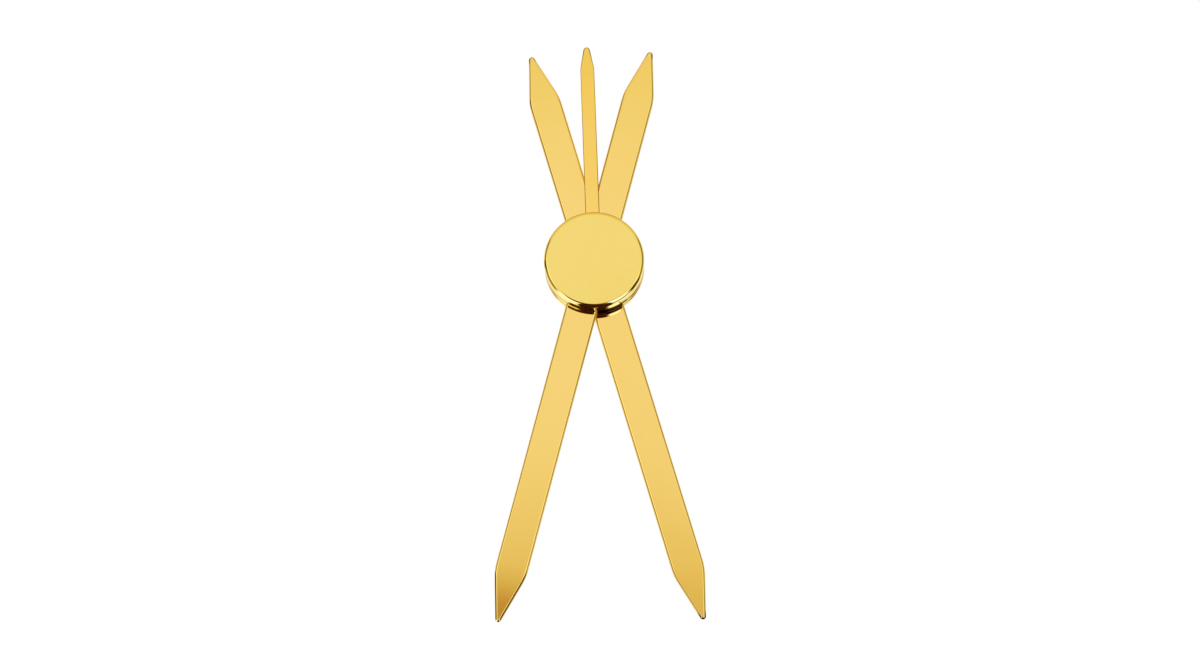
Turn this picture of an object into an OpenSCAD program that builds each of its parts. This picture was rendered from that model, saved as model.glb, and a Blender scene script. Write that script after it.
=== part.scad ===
// Brow-mapping compass: two crossed golden-ratio legs and a centre pointer on a round hub.
// A small gear train in the hub turns the legs opposite ways, so the pointer stays between them.
// Millimetres. The hub axis is Z, the pointer lies towards +Y, and the rear cap rests on Z = 0.

/* [Legs] */
// Length of a leg from tip to tip
leg_len = 122; // [105:1:140]
// Long arm divided by short arm
leg_ratio = 1.618; // [1.4:0.001:1.8]
// Width of a leg
leg_w = 6.4; // [5:0.1:8]
// Thickness of a leg
leg_t = 1.25; // [1:0.05:1.8]
// Distance of a leg's midline from the pivot axis
leg_offset = 0.15; // [0:0.05:0.6]
// Half angle of a leg's spear point
leg_point = 15.5; // [12:0.5:20]
// Radius of a leg's tip
leg_tip_r = 0.6; // [0.4:0.05:1]
// Radius where a leg's side turns into its point
leg_shoulder_r = 12; // [6:0.5:20]
// Bevel along a leg's edges
leg_bevel = 0.2; // [0.1:0.05:0.35]
// How far the legs' round eyes stand back from the hub wall
eye_inset = 0.15; // [0.05:0.05:0.4]

/* [Opening] */
// Angle of each leg from the middle line as drawn
rest_half = 15.4; // [5:0.1:40]
// Angle of each leg from the middle line at the stop
open_half = 60; // [45:1:70]

/* [Pointer] */
// Reach of the pointer from the pivot axis
pointer_len = 45.95; // [38:0.05:55]
// Width of the pointer
pointer_w = 2.85; // [2:0.05:4]
// Thickness of the pointer and of the carrier plate that it is cut from
pointer_t = 0.7; // [0.6:0.05:1]
// Half angle of the pointer's tip
pointer_point = 11; // [8:0.5:18]
// Radius of the pointer's tip
pointer_tip_r = 0.65; // [0.4:0.05:0.9]
// Radius where the pointer's side turns into its tip
pointer_shoulder_r = 5; // [3:0.5:10]
// Bevel along the pointer's edges
pointer_bevel = 0.12; // [0.05:0.01:0.2]
// Angle at which the pointer is set off the middle line
pointer_lean = 1; // [-2:0.1:2]

/* [Hub] */
// Diameter of the front cap
hub_d = 20.1; // [19:0.1:24]
// Wall of the front cap
hub_wall = 1.1; // [0.8:0.05:1.3]
// Thickness of the front cap's face
hub_face_t = 0.6; // [0.5:0.05:1.2]
// Rounding of the front cap's face edge
hub_edge_r = 0.55; // [0.2:0.05:0.7]
// Rounding of the front cap's foot
hub_foot_r = 0.5; // [0.1:0.05:0.55]
// Ledge in the wall that the carrier plate seats on
hub_ledge = 0.35; // [0.2:0.05:0.5]
// Diameter of the rear cap
rear_cap_d = 20; // [18:0.1:22]
// Thickness of the rear cap
rear_cap_t = 2; // [1.9:0.1:2.6]
// Rounding of the rear cap's edge
rear_edge_r = 1.6; // [0.4:0.05:1.7]
// Rounding of the rear cap's rim, next to the rear leg
rear_rim_r = 0.15; // [0.1:0.05:0.2]
// Depth of the rear cap's recess for the disc spring and the thrust washer
spring_recess = 0.65; // [0.5:0.05:0.7]
// Depth of the seats for the post and the axles in the caps
seat_depth = 0.3; // [0.2:0.05:0.35]

/* [Pivot] */
// Diameter of the pivot post
post_d = 2.5; // [2.2:0.1:2.8]
// Wall of the rear gear's sleeve
rear_sleeve_wall = 0.65; // [0.5:0.05:0.8]
// Wall of the front gear's sleeve
front_sleeve_wall = 0.9; // [0.7:0.05:1]
// Depth of the two flats that key a sleeve to its leg
key_depth = 0.25; // [0.15:0.05:0.35]
// Thread diameter of the clamp screw
clamp_d = 1.4; // [1:0.1:1.6]
// Length of the clamp screw under its head
clamp_len = 4; // [3:0.1:6]
// Head diameter of the clamp screw
clamp_head_d = 3.4; // [2.8:0.1:4.4]
// Head thickness of the clamp screw
clamp_head_t = 0.6; // [0.5:0.05:0.7]
// Width of the clamp screw's slot
clamp_slot_w = 0.45; // [0.3:0.05:0.7]

/* [Washers] */
// Diameter of the washer between the legs
leg_washer_d = 14; // [10:0.5:15]
// Thickness of the washer between the legs
leg_washer_t = 0.1; // [0.1:0.05:0.4]
// Diameter of the thrust washer
thrust_d = 12; // [8:0.5:14]
// Thickness of the thrust washer
thrust_t = 0.25; // [0.2:0.05:0.6]
// Diameter of the disc spring
spring_d = 11; // [8:0.5:13]
// Sheet thickness of the disc spring
spring_t = 0.2; // [0.1:0.05:0.3]
// Height of the disc spring as clamped
spring_h = 0.45; // [0.4:0.05:0.6]
// Thickness of the shim between front leg and carrier plate
shim_t = 0.15; // [0.1:0.05:0.3]
// Width of the shim's ring
shim_w = 1.85; // [1:0.05:1.9]

/* [Gears] */
// Gear module
gear_m = 0.25; // [0.2:0.01:0.3]
// Teeth of each pinion
pinion_teeth = 16; // [14:1:18]
// Pressure angle
pressure_angle = 25; // [20:1:27]
// Tooth height above the pitch circle, in modules
addendum = 0.8; // [0.7:0.05:1]
// Tooth depth below the pitch circle, in modules
dedendum = 1; // [0.95:0.05:1.25]
// Play between meshing flanks
backlash = 0.05; // [0.03:0.01:0.08]
// Face width of one gear level
gear_w = 0.4; // [0.35:0.05:0.8]
// Metal between a sleeve and the tooth roots of its gear
sun_rim = 0.3; // [0.2:0.05:0.5]
// Diameter of the pinion axles
axle_d = 1.2; // [0.8:0.05:1.4]
// Wall of a pinion's narrow hub
pinion_hub_wall = 0.4; // [0.3:0.05:0.5]

/* [Stop and screws] */
// Diameter of the stop pin
stop_d = 1.2; // [0.8:0.1:1.4]
// Distance of the stop pin from the pivot axis
stop_r = 6.8; // [6.6:0.1:7.4]
// Direction of the stop pin around the hub
stop_angle = 130; // [126:1:140]
// Thread diameter of the carrier screws
carrier_screw_d = 1; // [0.8:0.1:1.2]
// Head diameter of the carrier screws
carrier_head_d = 1.8; // [1.5:0.1:2]
// Length of the carrier screws
carrier_screw_len = 1.7; // [1.3:0.1:2]
// Diameter of the screw bosses in the front cap
boss_d = 2.4; // [2:0.1:2.8]

/* [Fits] */
// Radial clearance of a turning fit
run_gap = 0.05; // [0.03:0.01:0.08]
// Axial clearance between pieces that slide on each other
slide_gap = 0.05; // [0.03:0.01:0.1]
// Radial clearance of a fixed seat
seat_gap = 0.01; // [0.005:0.005:0.02]
// Axial clearance between gear levels
level_gap = 0.08; // [0.06:0.01:0.2]
// Clearance of the stop pin in its slot
stop_gap = 0.1; // [0.05:0.01:0.2]

/* [Hidden] */
$fn = 96;
arc_steps = 6;
flank_steps = 4;
cut = 1;

GOLD = "#F2CE6B";
GOLD_DEEP = "#E3B64F";
BRASS = "#C9A227";
STEEL = "#B9BCC0";

// Arms of a leg
short_arm = leg_len / (1 + leg_ratio);
long_arm = leg_len - short_arm;

// Heights, from the rear cap up to the face
spring_z = rear_cap_t - spring_recess;
thrust_z = spring_z + spring_h;
rear_leg_z = thrust_z + thrust_t + slide_gap;
leg_washer_z = rear_leg_z + leg_t;
front_leg_z = leg_washer_z + leg_washer_t + slide_gap;
shim_z = front_leg_z + leg_t + slide_gap;
plate_z = shim_z + slide_gap;
shim_seat = shim_t - slide_gap;
plate_top = plate_z + pointer_t;
level_step = gear_w + level_gap;
ceiling_z = plate_top + 3 * level_step + level_gap;
hub_h = ceiling_z + hub_face_t;
head_recess = 0.1;
post_z = spring_z - seat_depth;

// Radii, from the pivot axis out to the hub wall
hub_r = hub_d / 2;
cavity_r = hub_r - hub_wall;
plate_r = cavity_r + hub_ledge;
eye_r = hub_r - eye_inset;
post_r = post_d / 2;
rear_sleeve_bore = post_r + run_gap;
rear_sleeve_r = rear_sleeve_bore + rear_sleeve_wall;
front_sleeve_bore = rear_sleeve_r + run_gap;
front_sleeve_r = front_sleeve_bore + front_sleeve_wall;
plate_bore = front_sleeve_r + run_gap;
screw_circle = cavity_r - boss_d / 2 + hub_ledge / 2;

// Gear train
sun_teeth = 2 * ceil((front_sleeve_r + sun_rim) / gear_m + dedendum);
sun_pitch_r = gear_m * sun_teeth / 2;
pinion_pitch_r = gear_m * pinion_teeth / 2;
gear_centre = sun_pitch_r + pinion_pitch_r;
pair_half = asin(pinion_pitch_r / gear_centre);
axle_bore = axle_d / 2 + run_gap;
pinion_hub_r = axle_bore + pinion_hub_wall;
upper_pair = 90;
lower_pair = 270;
screw_angles = [20, 160, 200, 340];

// Height of the foot of gear level i
function level_z(i) = plate_top + level_gap + i * level_step;

// Points of an arc about centre c
function arc(c, r, from, to) =
    [for (i = [0:arc_steps]) let (a = from + (to - from) * i / arc_steps) c + r * [cos(a), sin(a)]];

// Right-hand edge of a spear point: the tip's arc, then the arc of the shoulder
function spear_edge(reach, w, tip_r, shoulder_r, half, inset) =
    let (tip_y = reach - tip_r)
    let (drop = (tip_r - shoulder_r - (w / 2 - shoulder_r) * cos(half)) / sin(half))
    concat(
        arc([0, tip_y], tip_r - inset, 90, half),
        arc([w / 2 - shoulder_r, tip_y + drop], shoulder_r - inset, half, 0));

function turned_back(points) = [for (i = [len(points) - 1:-1:0]) points[i]];
function flipped(points, sx, sy) = [for (p = points) [sx * p[0], sy * p[1]]];

function leg_edge(reach, inset) =
    spear_edge(reach, leg_w, leg_tip_r, leg_shoulder_r, leg_point, inset);

function pointer_edge(inset) =
    spear_edge(pointer_len, pointer_w, pointer_tip_r, pointer_shoulder_r, pointer_point, inset);

// Outline of a leg with a spear point at both ends
function leg_outline(inset) =
    let (up = leg_edge(short_arm, inset), down = leg_edge(long_arm, inset))
    concat(
        up,
        turned_back(flipped(down, 1, -1)),
        flipped(down, -1, -1),
        turned_back(flipped(up, -1, 1)));

// Outline of the pointer from the pivot axis to its tip
function pointer_outline(inset) =
    let (edge = pointer_edge(inset))
    let (side = pointer_w / 2 - inset)
    concat(edge, [[side, 0], [-side, 0]], turned_back(flipped(edge, -1, 1)));

// Involute function in degrees
function involute(a) = tan(a) * 180 / PI - a;

// Half angle of a tooth at radius r
function tooth_half(teeth, r) =
    let (pitch_r = gear_m * teeth / 2)
    let (base_r = pitch_r * cos(pressure_angle))
    let (at_pitch = (90 - backlash / gear_m * 45 / PI) / teeth)
    at_pitch + involute(pressure_angle) - involute(acos(min(1, base_r / r)));

// Outline of an involute gear whose first tooth is centred on the angle given by phase
function gear_outline(teeth, phase) =
    let (pitch_r = gear_m * teeth / 2)
    let (base_r = pitch_r * cos(pressure_angle))
    let (tip_r = pitch_r + addendum * gear_m)
    let (root_r = pitch_r - dedendum * gear_m)
    let (foot_r = max(base_r, root_r))
    let (flank = [for (k = [0:flank_steps]) foot_r + (tip_r - foot_r) * k / flank_steps])
    let (radii = root_r < base_r ? concat([root_r], flank) : flank)
    [for (i = [0:teeth - 1])
        for (side = [-1, 1])
            for (r = side < 0 ? radii : turned_back(radii))
                let (a = phase + i * 360 / teeth + side * tooth_half(teeth, max(r, foot_r)))
                r * [cos(a), sin(a)]];

// Angle of a gear that meshes with another of phase other_phase, which lies towards (direction + 180)
function mesh_phase(teeth, other_teeth, other_phase, direction) =
    direction + 180 - (180 - (direction - other_phase) * other_teeth) / teeth;

// Directions and phases of the gears in the pair that lies towards the given angle
function front_pinion_at(pair) = pair - pair_half;
function rear_pinion_at(pair) = pair + pair_half;
function front_phase(pair) = mesh_phase(pinion_teeth, sun_teeth, 0, front_pinion_at(pair));
function rear_phase(pair) = mesh_phase(pinion_teeth, pinion_teeth, front_phase(pair), pair + 90);
rear_sun_at = rear_pinion_at(upper_pair) + 180;
rear_sun_phase = mesh_phase(sun_teeth, pinion_teeth, rear_phase(upper_pair), rear_sun_at);

// A flat bar with bevelled edges, from the outline at full width and the outline drawn in
module bevelled_bar(t, bevel, outline, inner) {
    hull() {
        linear_extrude(t)
            polygon(inner);
        translate([0, 0, bevel])
            linear_extrude(t - 2 * bevel)
                polygon(outline);
    }
}

// A round plate with bevelled rims
module bevelled_disc(r, t, bevel) {
    rotate_extrude()
        polygon([[0, 0], [r - bevel, 0], [r, bevel], [r, t - bevel], [r - bevel, t], [0, t]]);
}

// Half section of a disc whose top and foot are rounded at the outside
module rounded_section(r, h, top_r, foot_r) {
    square([r - foot_r, h - top_r]);
    translate([0, foot_r]) {
        square([r - top_r, h - foot_r]);
        square([r, h - top_r - foot_r]);
    }
    translate([r - top_r, h - top_r])
        round_corner(top_r);
    translate([r - foot_r, foot_r])
        mirror([0, 1])
            round_corner(foot_r);
}

// Quarter of a disc, with a little more behind its straight sides
module round_corner(r) {
    intersection() {
        circle(r);
        translate([-r / 5, -r / 5])
            square(2 * r);
    }
}

module ring(r, bore, t) {
    difference() {
        cylinder(r = r, h = t);
        translate([0, 0, -cut])
            cylinder(r = bore, h = t + 2 * cut);
    }
}

// A round hole with two flats, which keys a leg to the sleeve of its gear
module keyed_hole(r, h) {
    flat = r - key_depth + seat_gap;
    intersection() {
        cylinder(r = r + seat_gap, h = h);
        translate([-flat, -r - cut, 0])
            cube([2 * flat, 2 * (r + cut), h]);
    }
}

// An arc-shaped hole with round ends
module arc_slot(r, half_w, from, to, h) {
    rotate([0, 0, from])
        rotate_extrude(angle = to - from)
            translate([r - half_w, 0])
                square([2 * half_w, h]);
    for (a = [from, to])
        rotate([0, 0, a])
            translate([r, 0, 0])
                cylinder(r = half_w, h = h);
}

module at_polar(r, a) {
    rotate([0, 0, a])
        translate([r, 0, 0])
            children();
}

module at_axles() {
    for (pair = [upper_pair, lower_pair])
        for (a = [front_pinion_at(pair), rear_pinion_at(pair)])
            at_polar(gear_centre, a)
                children();
}

// Cup-shaped front cap: face, wall, ledge for the carrier plate, bosses, seats and pointer notch
module front_cap() {
    screw_hole = carrier_screw_len - pointer_t + level_gap;
    color(GOLD)
        difference() {
            union() {
                difference() {
                    translate([0, 0, plate_z])
                        rotate_extrude()
                            rounded_section(hub_r, hub_h - plate_z, hub_edge_r, hub_foot_r);
                    translate([0, 0, plate_z - cut])
                        cylinder(r = cavity_r, h = ceiling_z - plate_z + cut);
                    translate([0, 0, plate_z - cut])
                        cylinder(r = plate_r + seat_gap, h = pointer_t + cut);
                }
                for (a = screw_angles)
                    at_polar(screw_circle, a)
                        translate([0, 0, plate_top])
                            cylinder(d = boss_d, h = ceiling_z - plate_top);
            }
            for (a = screw_angles)
                at_polar(screw_circle, a)
                    translate([0, 0, plate_top - cut])
                        cylinder(r = carrier_screw_d / 2 + seat_gap, h = screw_hole + cut);
            at_axles()
                translate([0, 0, ceiling_z - cut])
                    cylinder(r = axle_d / 2 + seat_gap, h = seat_depth + cut);
            translate([0, 0, ceiling_z - cut])
                cylinder(r = post_r + seat_gap, h = seat_depth + cut);
            rotate([0, 0, pointer_lean])
                translate([-pointer_w / 2 - seat_gap, 0, plate_z - cut])
                    cube([pointer_w + 2 * seat_gap, hub_d, pointer_t + slide_gap + cut]);
        }
}

// Pointer and carrier plate, cut from one sheet
module pointer() {
    color(GOLD)
        translate([0, 0, plate_z])
            difference() {
                union() {
                    cylinder(r = plate_r, h = pointer_t);
                    rotate([0, 0, pointer_lean])
                        bevelled_bar(pointer_t, pointer_bevel,
                            pointer_outline(0), pointer_outline(pointer_bevel));
                }
                translate([0, 0, -cut])
                    cylinder(r = plate_bore, h = pointer_t + 2 * cut);
                translate([0, 0, -cut])
                    cylinder(r = plate_bore + shim_w + seat_gap, h = shim_seat + cut);
                at_axles()
                    translate([0, 0, -cut])
                        cylinder(r = axle_d / 2 + seat_gap, h = pointer_t + 2 * cut);
                at_polar(stop_r, stop_angle)
                    translate([0, 0, -cut])
                        cylinder(r = stop_d / 2 + seat_gap, h = pointer_t + 2 * cut);
                for (a = screw_angles)
                    at_polar(screw_circle, a)
                        carrier_screw_form(seat_gap, 2 * cut);
            }
}

// Countersunk screw shape from the plate's underside, widened by gap and lengthened by extra
module carrier_screw_form(gap, extra) {
    head_h = (carrier_head_d - carrier_screw_d) / 2;
    cylinder(r1 = carrier_head_d / 2 + gap, r2 = carrier_screw_d / 2 + gap, h = head_h);
    cylinder(r = carrier_screw_d / 2 + gap, h = carrier_screw_len + extra);
}

module carrier_screws() {
    slot = carrier_screw_d / 4;
    color(STEEL)
        for (a = screw_angles)
            at_polar(screw_circle, a)
                translate([0, 0, plate_z])
                    difference() {
                        carrier_screw_form(0, 0);
                        translate([-carrier_head_d, -slot / 2, -cut])
                            cube([2 * carrier_head_d, slot, slot + cut]);
                    }
}

// Pin in the carrier plate that meets the ends of the front leg's slot
module stop_pin() {
    foot = front_leg_z + leg_bevel;
    color(STEEL)
        at_polar(stop_r, stop_angle)
            translate([0, 0, foot])
                cylinder(d = stop_d, h = plate_top - foot);
}

module carrier_shim() {
    color(BRASS)
        translate([0, 0, shim_z])
            ring(plate_bore + shim_w, plate_bore, shim_t);
}

// Post that carries both sleeves, seated in both caps and drilled for the clamp screw
module pivot_post() {
    drill = post_z + clamp_len;
    color(STEEL)
        difference() {
            translate([0, 0, post_z])
                cylinder(r = post_r, h = ceiling_z + seat_depth - post_z);
            translate([0, 0, post_z - cut])
                cylinder(r = clamp_d / 2 + seat_gap, h = drill - post_z + cut);
        }
}

// Rear cap with a recess for the spring, a seat for the post and a counterbore for the screw
module rear_cap() {
    head_z = head_recess + clamp_head_t;
    color(GOLD)
        difference() {
            translate([0, 0, rear_cap_t])
                mirror([0, 0, 1])
                    rotate_extrude()
                        rounded_section(rear_cap_d / 2, rear_cap_t, rear_edge_r, rear_rim_r);
            translate([0, 0, -cut])
                cylinder(r = clamp_head_d / 2 + 2 * run_gap, h = head_z + cut);
            translate([0, 0, -cut])
                cylinder(r = clamp_d / 2 + run_gap, h = rear_cap_t + 2 * cut);
            translate([0, 0, post_z])
                cylinder(r = post_r + seat_gap, h = rear_cap_t);
            translate([0, 0, spring_z])
                cylinder(r = thrust_d / 2 + 2 * run_gap, h = rear_cap_t);
        }
}

module clamp_screw() {
    head_z = head_recess + clamp_head_t;
    color(STEEL)
        difference() {
            union() {
                translate([0, 0, head_recess])
                    cylinder(d = clamp_head_d, h = clamp_head_t);
                translate([0, 0, head_z])
                    cylinder(d = clamp_d, h = clamp_len);
            }
            translate([-clamp_head_d, -clamp_slot_w / 2, head_recess - cut])
                cube([2 * clamp_head_d, clamp_slot_w, clamp_head_t / 2 + cut]);
        }
}

// Conical spring that presses the legs together
module disc_spring() {
    inner_r = post_r + 3 * run_gap;
    outer_r = spring_d / 2;
    rise = spring_h - spring_t;
    color(STEEL)
        translate([0, 0, spring_z])
            rotate_extrude()
                polygon([[inner_r, rise], [outer_r, 0], [outer_r, spring_t], [inner_r, spring_h]]);
}

module thrust_washer() {
    color(BRASS)
        translate([0, 0, thrust_z])
            ring(thrust_d / 2, post_r + run_gap, thrust_t);
}

module leg_washer() {
    color(BRASS)
        translate([0, 0, leg_washer_z])
            ring(leg_washer_d / 2, rear_sleeve_r + seat_gap, leg_washer_t);
}

module pinion_axle(direction) {
    color(STEEL)
        at_polar(gear_centre, direction)
            translate([0, 0, plate_z])
                cylinder(d = axle_d, h = ceiling_z + seat_depth - plate_z);
}

// Bar and round eye of a leg, with a keyed hole for the sleeve of its gear
module leg_blank(shift, eye_r, sleeve_r) {
    difference() {
        union() {
            translate([shift, 0, 0])
                bevelled_bar(leg_t, leg_bevel, leg_outline(0), leg_outline(leg_bevel));
            bevelled_disc(eye_r, leg_t, leg_bevel);
        }
        translate([0, 0, -cut])
            keyed_hole(sleeve_r, leg_t + 2 * cut);
    }
}

// Front leg, whose eye has the slot for the stop pin
module front_leg() {
    color(GOLD)
        translate([0, 0, front_leg_z])
            difference() {
                rotate([0, 0, -rest_half])
                    leg_blank(-leg_offset, eye_r, front_sleeve_r);
                translate([0, 0, -cut])
                    arc_slot(stop_r, stop_d / 2 + stop_gap, stop_angle - rest_half,
                        stop_angle - rest_half + open_half, leg_t + 2 * cut);
            }
}

module rear_leg() {
    color(GOLD_DEEP)
        translate([0, 0, rear_leg_z])
            rotate([0, 0, rest_half])
                leg_blank(leg_offset, eye_r, rear_sleeve_r);
}

// Gear on a sleeve whose foot has two flats that key it to its leg
module sun_gear(sleeve_r, bore, foot_z, leg_angle, level, phase) {
    top = level_z(level) + gear_w;
    difference() {
        union() {
            translate([0, 0, foot_z])
                cylinder(r = sleeve_r, h = top - foot_z);
            translate([0, 0, level_z(level)])
                linear_extrude(gear_w)
                    polygon(gear_outline(sun_teeth, phase));
        }
        translate([0, 0, foot_z - cut])
            cylinder(r = bore, h = top - foot_z + 2 * cut);
        for (turn = [0, 180])
            rotate([0, 0, leg_angle + turn])
                translate([sleeve_r - key_depth, -sleeve_r, foot_z - cut])
                    cube([sleeve_r, 2 * sleeve_r, leg_t + cut]);
    }
}

module front_sun_gear() {
    color(BRASS)
        sun_gear(front_sleeve_r, front_sleeve_bore, front_leg_z, -rest_half, 0, 0);
}

module rear_sun_gear() {
    color(BRASS)
        sun_gear(rear_sleeve_r, rear_sleeve_bore, rear_leg_z, rest_half, 2, rear_sun_phase);
}

// Pinion two levels wide, with a narrow hub on the third level
module pinion(direction, phase, gear_level, hub_level) {
    hub_z = hub_level == 0 ? plate_top + slide_gap : level_z(2) - level_gap;
    hub_top = hub_level == 0 ? level_z(1) : ceiling_z - slide_gap;
    color(BRASS)
        at_polar(gear_centre, direction)
            difference() {
                union() {
                    translate([0, 0, level_z(gear_level)])
                        rotate([0, 0, phase - direction])
                            linear_extrude(gear_w + level_step)
                                polygon(gear_outline(pinion_teeth, 0));
                    translate([0, 0, hub_z])
                        cylinder(r = pinion_hub_r, h = hub_top - hub_z);
                }
                translate([0, 0, plate_top])
                    cylinder(r = axle_bore, h = ceiling_z - plate_top);
            }
}

module front_pinion(pair) {
    pinion(front_pinion_at(pair), front_phase(pair), 0, 2);
}

module rear_pinion(pair) {
    pinion(rear_pinion_at(pair), rear_phase(pair), 1, 0);
}

front_cap();
pointer();
carrier_screws();
stop_pin();
carrier_shim();
pivot_post();
rear_cap();
clamp_screw();
disc_spring();
thrust_washer();
pinion_axle(front_pinion_at(upper_pair));  // upper_front_axle
pinion_axle(rear_pinion_at(upper_pair));  // upper_rear_axle
pinion_axle(front_pinion_at(lower_pair));  // lower_front_axle
pinion_axle(rear_pinion_at(lower_pair));  // lower_rear_axle
front_leg();
front_sun_gear();
rear_leg();
rear_sun_gear();
leg_washer();
front_pinion(upper_pair);  // upper_front_pinion
rear_pinion(upper_pair);  // upper_rear_pinion
front_pinion(lower_pair);  // lower_front_pinion
rear_pinion(lower_pair);  // lower_rear_pinion
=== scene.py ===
"""Looks of a gold-plated brow-mapping compass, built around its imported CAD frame.

The hub cap, pointer, legs, rear cap and clamp screw get meshes with finely rounded edges. The gear train,
axles, washers and small screws keep their CAD solids and get machined finishes. Sizes are millimetres until a
mesh is finished, and then metres, in the frame's axes: the hub axis is Z and the pointer lies towards +Y.
"""

from __future__ import annotations

import logging
import math
from dataclasses import dataclass
from enum import Enum
from typing import Callable, Iterable, Sequence

import bmesh
import bpy
from mathutils import Matrix, Vector


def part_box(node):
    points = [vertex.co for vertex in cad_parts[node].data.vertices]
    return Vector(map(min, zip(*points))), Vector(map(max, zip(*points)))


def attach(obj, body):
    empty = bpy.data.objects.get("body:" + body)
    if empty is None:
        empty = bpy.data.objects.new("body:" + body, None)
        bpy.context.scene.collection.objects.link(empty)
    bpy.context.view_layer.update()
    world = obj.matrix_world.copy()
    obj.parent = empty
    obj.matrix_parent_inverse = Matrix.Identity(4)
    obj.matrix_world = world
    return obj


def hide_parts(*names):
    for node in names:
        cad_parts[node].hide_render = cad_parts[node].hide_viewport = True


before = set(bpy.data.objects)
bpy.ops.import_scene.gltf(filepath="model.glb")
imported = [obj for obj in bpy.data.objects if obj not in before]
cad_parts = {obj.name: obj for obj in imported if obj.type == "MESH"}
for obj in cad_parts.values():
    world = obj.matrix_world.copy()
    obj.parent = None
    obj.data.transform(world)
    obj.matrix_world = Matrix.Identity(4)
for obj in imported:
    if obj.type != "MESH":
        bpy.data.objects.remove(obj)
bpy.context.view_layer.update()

LOG = logging.getLogger("compass")
MM = 0.001
PHOTO_WIDTH = 1200
AXIS = (0.0, 0.0)
SHARP_DEG = 36.0
ARC_STEPS = 20
ROUND_STEPS = 256
HOLE_STEPS = 32
PIN_STEPS = 48
EDGE_STEPS = 6
CAP_WEIGHT = 1000.0
EDGE_SHARE = 0.5
WELD = 1e-5
SLACK = 1.01
REST_HALF = 15.4
LEG_SHIFT = 0.15
EYE_INSET = 0.15

Point = tuple[float, float]
Color = tuple[float, float, float]
Outline = Callable[[float], list[Point]]
Section = list[tuple[float, float, float]]
Loop = list[bmesh.types.BMVert]
Socket = bpy.types.NodeSocket
Feeds = dict[str, Socket]
Stops = tuple[tuple[float, Color], ...]


class Slot(Enum):
    """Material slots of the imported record."""

    GOLD_PLATE = "gold_plate"
    GEAR_BRASS = "gear_brass"
    BEARING_BRASS = "bearing_brass"
    STEEL = "steel"


class Body(Enum):
    """Bodies of the frame that the new pieces ride on."""

    HUB = "hub"
    FRONT_LEG = "front_leg_set"
    REAR_LEG = "rear_leg_set"


class Cut(Enum):
    """Ways to combine one solid with another."""

    ADD = "UNION"
    REMOVE = "DIFFERENCE"


# Outlines


def arc(centre: Point, radius: float, start: float, end: float, steps: int = ARC_STEPS) -> list[Point]:
    """Gives the points of an arc.

    Args:
        centre: Centre of the arc.
        radius: Radius of the arc.
        start: Angle of the first point, in degrees.
        end: Angle of the last point, in degrees.
        steps: Number of chords.

    Returns:
        The points, both ends included.
    """
    angles = [math.radians(start + (end - start) * k / steps) for k in range(steps + 1)]
    return [(centre[0] + radius * math.cos(a), centre[1] + radius * math.sin(a)) for a in angles]


def circle(radius: float, centre: Point = AXIS, steps: int = ROUND_STEPS) -> list[Point]:
    """Gives the points of a full circle, without repeating the first."""
    return arc(centre, radius, 0.0, 360.0, steps)[:-1]


def polar(radius: float, angle: float) -> Point:
    """Gives the point at a radius and an angle in degrees."""
    return radius * math.cos(math.radians(angle)), radius * math.sin(math.radians(angle))


def turned(points: Iterable[Point], angle: float) -> list[Point]:
    """Turns points about the hub axis by an angle in degrees."""
    c, s = math.cos(math.radians(angle)), math.sin(math.radians(angle))
    return [(x * c - y * s, x * s + y * c) for x, y in points]


@dataclass(frozen=True)
class Spear:
    """Outline of a flat blade whose straight sides run into a rounded spear point."""

    width: float
    tip_r: float
    shoulder_r: float
    half_deg: float

    def edge(self, reach: float, inset: float) -> list[Point]:
        """Gives the right-hand edge from the tip down to where the side runs straight.

        Args:
            reach: Distance of the tip from the pivot axis.
            inset: Distance by which the edge is drawn in.

        Returns:
            The points of the tip's arc and of the shoulder's arc.
        """
        half = math.radians(self.half_deg)
        side = self.width / 2 - self.shoulder_r
        tip_y = reach - self.tip_r
        drop = (self.tip_r - self.shoulder_r - side * math.cos(half)) / math.sin(half)
        tip = arc((0.0, tip_y), self.tip_r - inset, 90.0, self.half_deg)
        return tip + arc((side, tip_y + drop), self.shoulder_r - inset, self.half_deg, 0.0)


# Meshes


@dataclass(frozen=True)
class Ring:
    """One closed loop of a lofted solid.

    Attributes:
        points: The loop's points, in order.
        height: Height of the loop.
        edge: How much the loop lies on a rounded edge, from 0 to 1.
    """

    points: list[Point]
    height: float
    edge: float = 0.0


def rounded_rings(outline: Outline, low: float, high: float, radius: float) -> list[Ring]:
    """Gives the rings of a plate whose upper and lower edges are rounded.

    Args:
        outline: Function from an inset to the plate's outline.
        low: Height of the underside.
        high: Height of the top.
        radius: Radius of the rounding.

    Returns:
        The rings from the underside up to the top.
    """
    turns = [math.pi / 2 * k / EDGE_STEPS for k in range(EDGE_STEPS + 1)]
    lower = [(t, low + radius * (1 - math.cos(t))) for t in turns]
    upper = [(t, high - radius * (1 - math.cos(t))) for t in reversed(turns)]
    return [Ring(outline(radius * (1 - math.sin(t))), z, math.sin(t)) for t, z in lower + upper]


def linked(name: str, data: bpy.types.ID) -> bpy.types.Object:
    """Makes an object and links it to the scene.

    Args:
        name: Name of the object.
        data: Its mesh or camera.

    Returns:
        The new object.
    """
    made = bpy.data.objects.new(name, data)
    bpy.context.scene.collection.objects.link(made)
    return made


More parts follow.
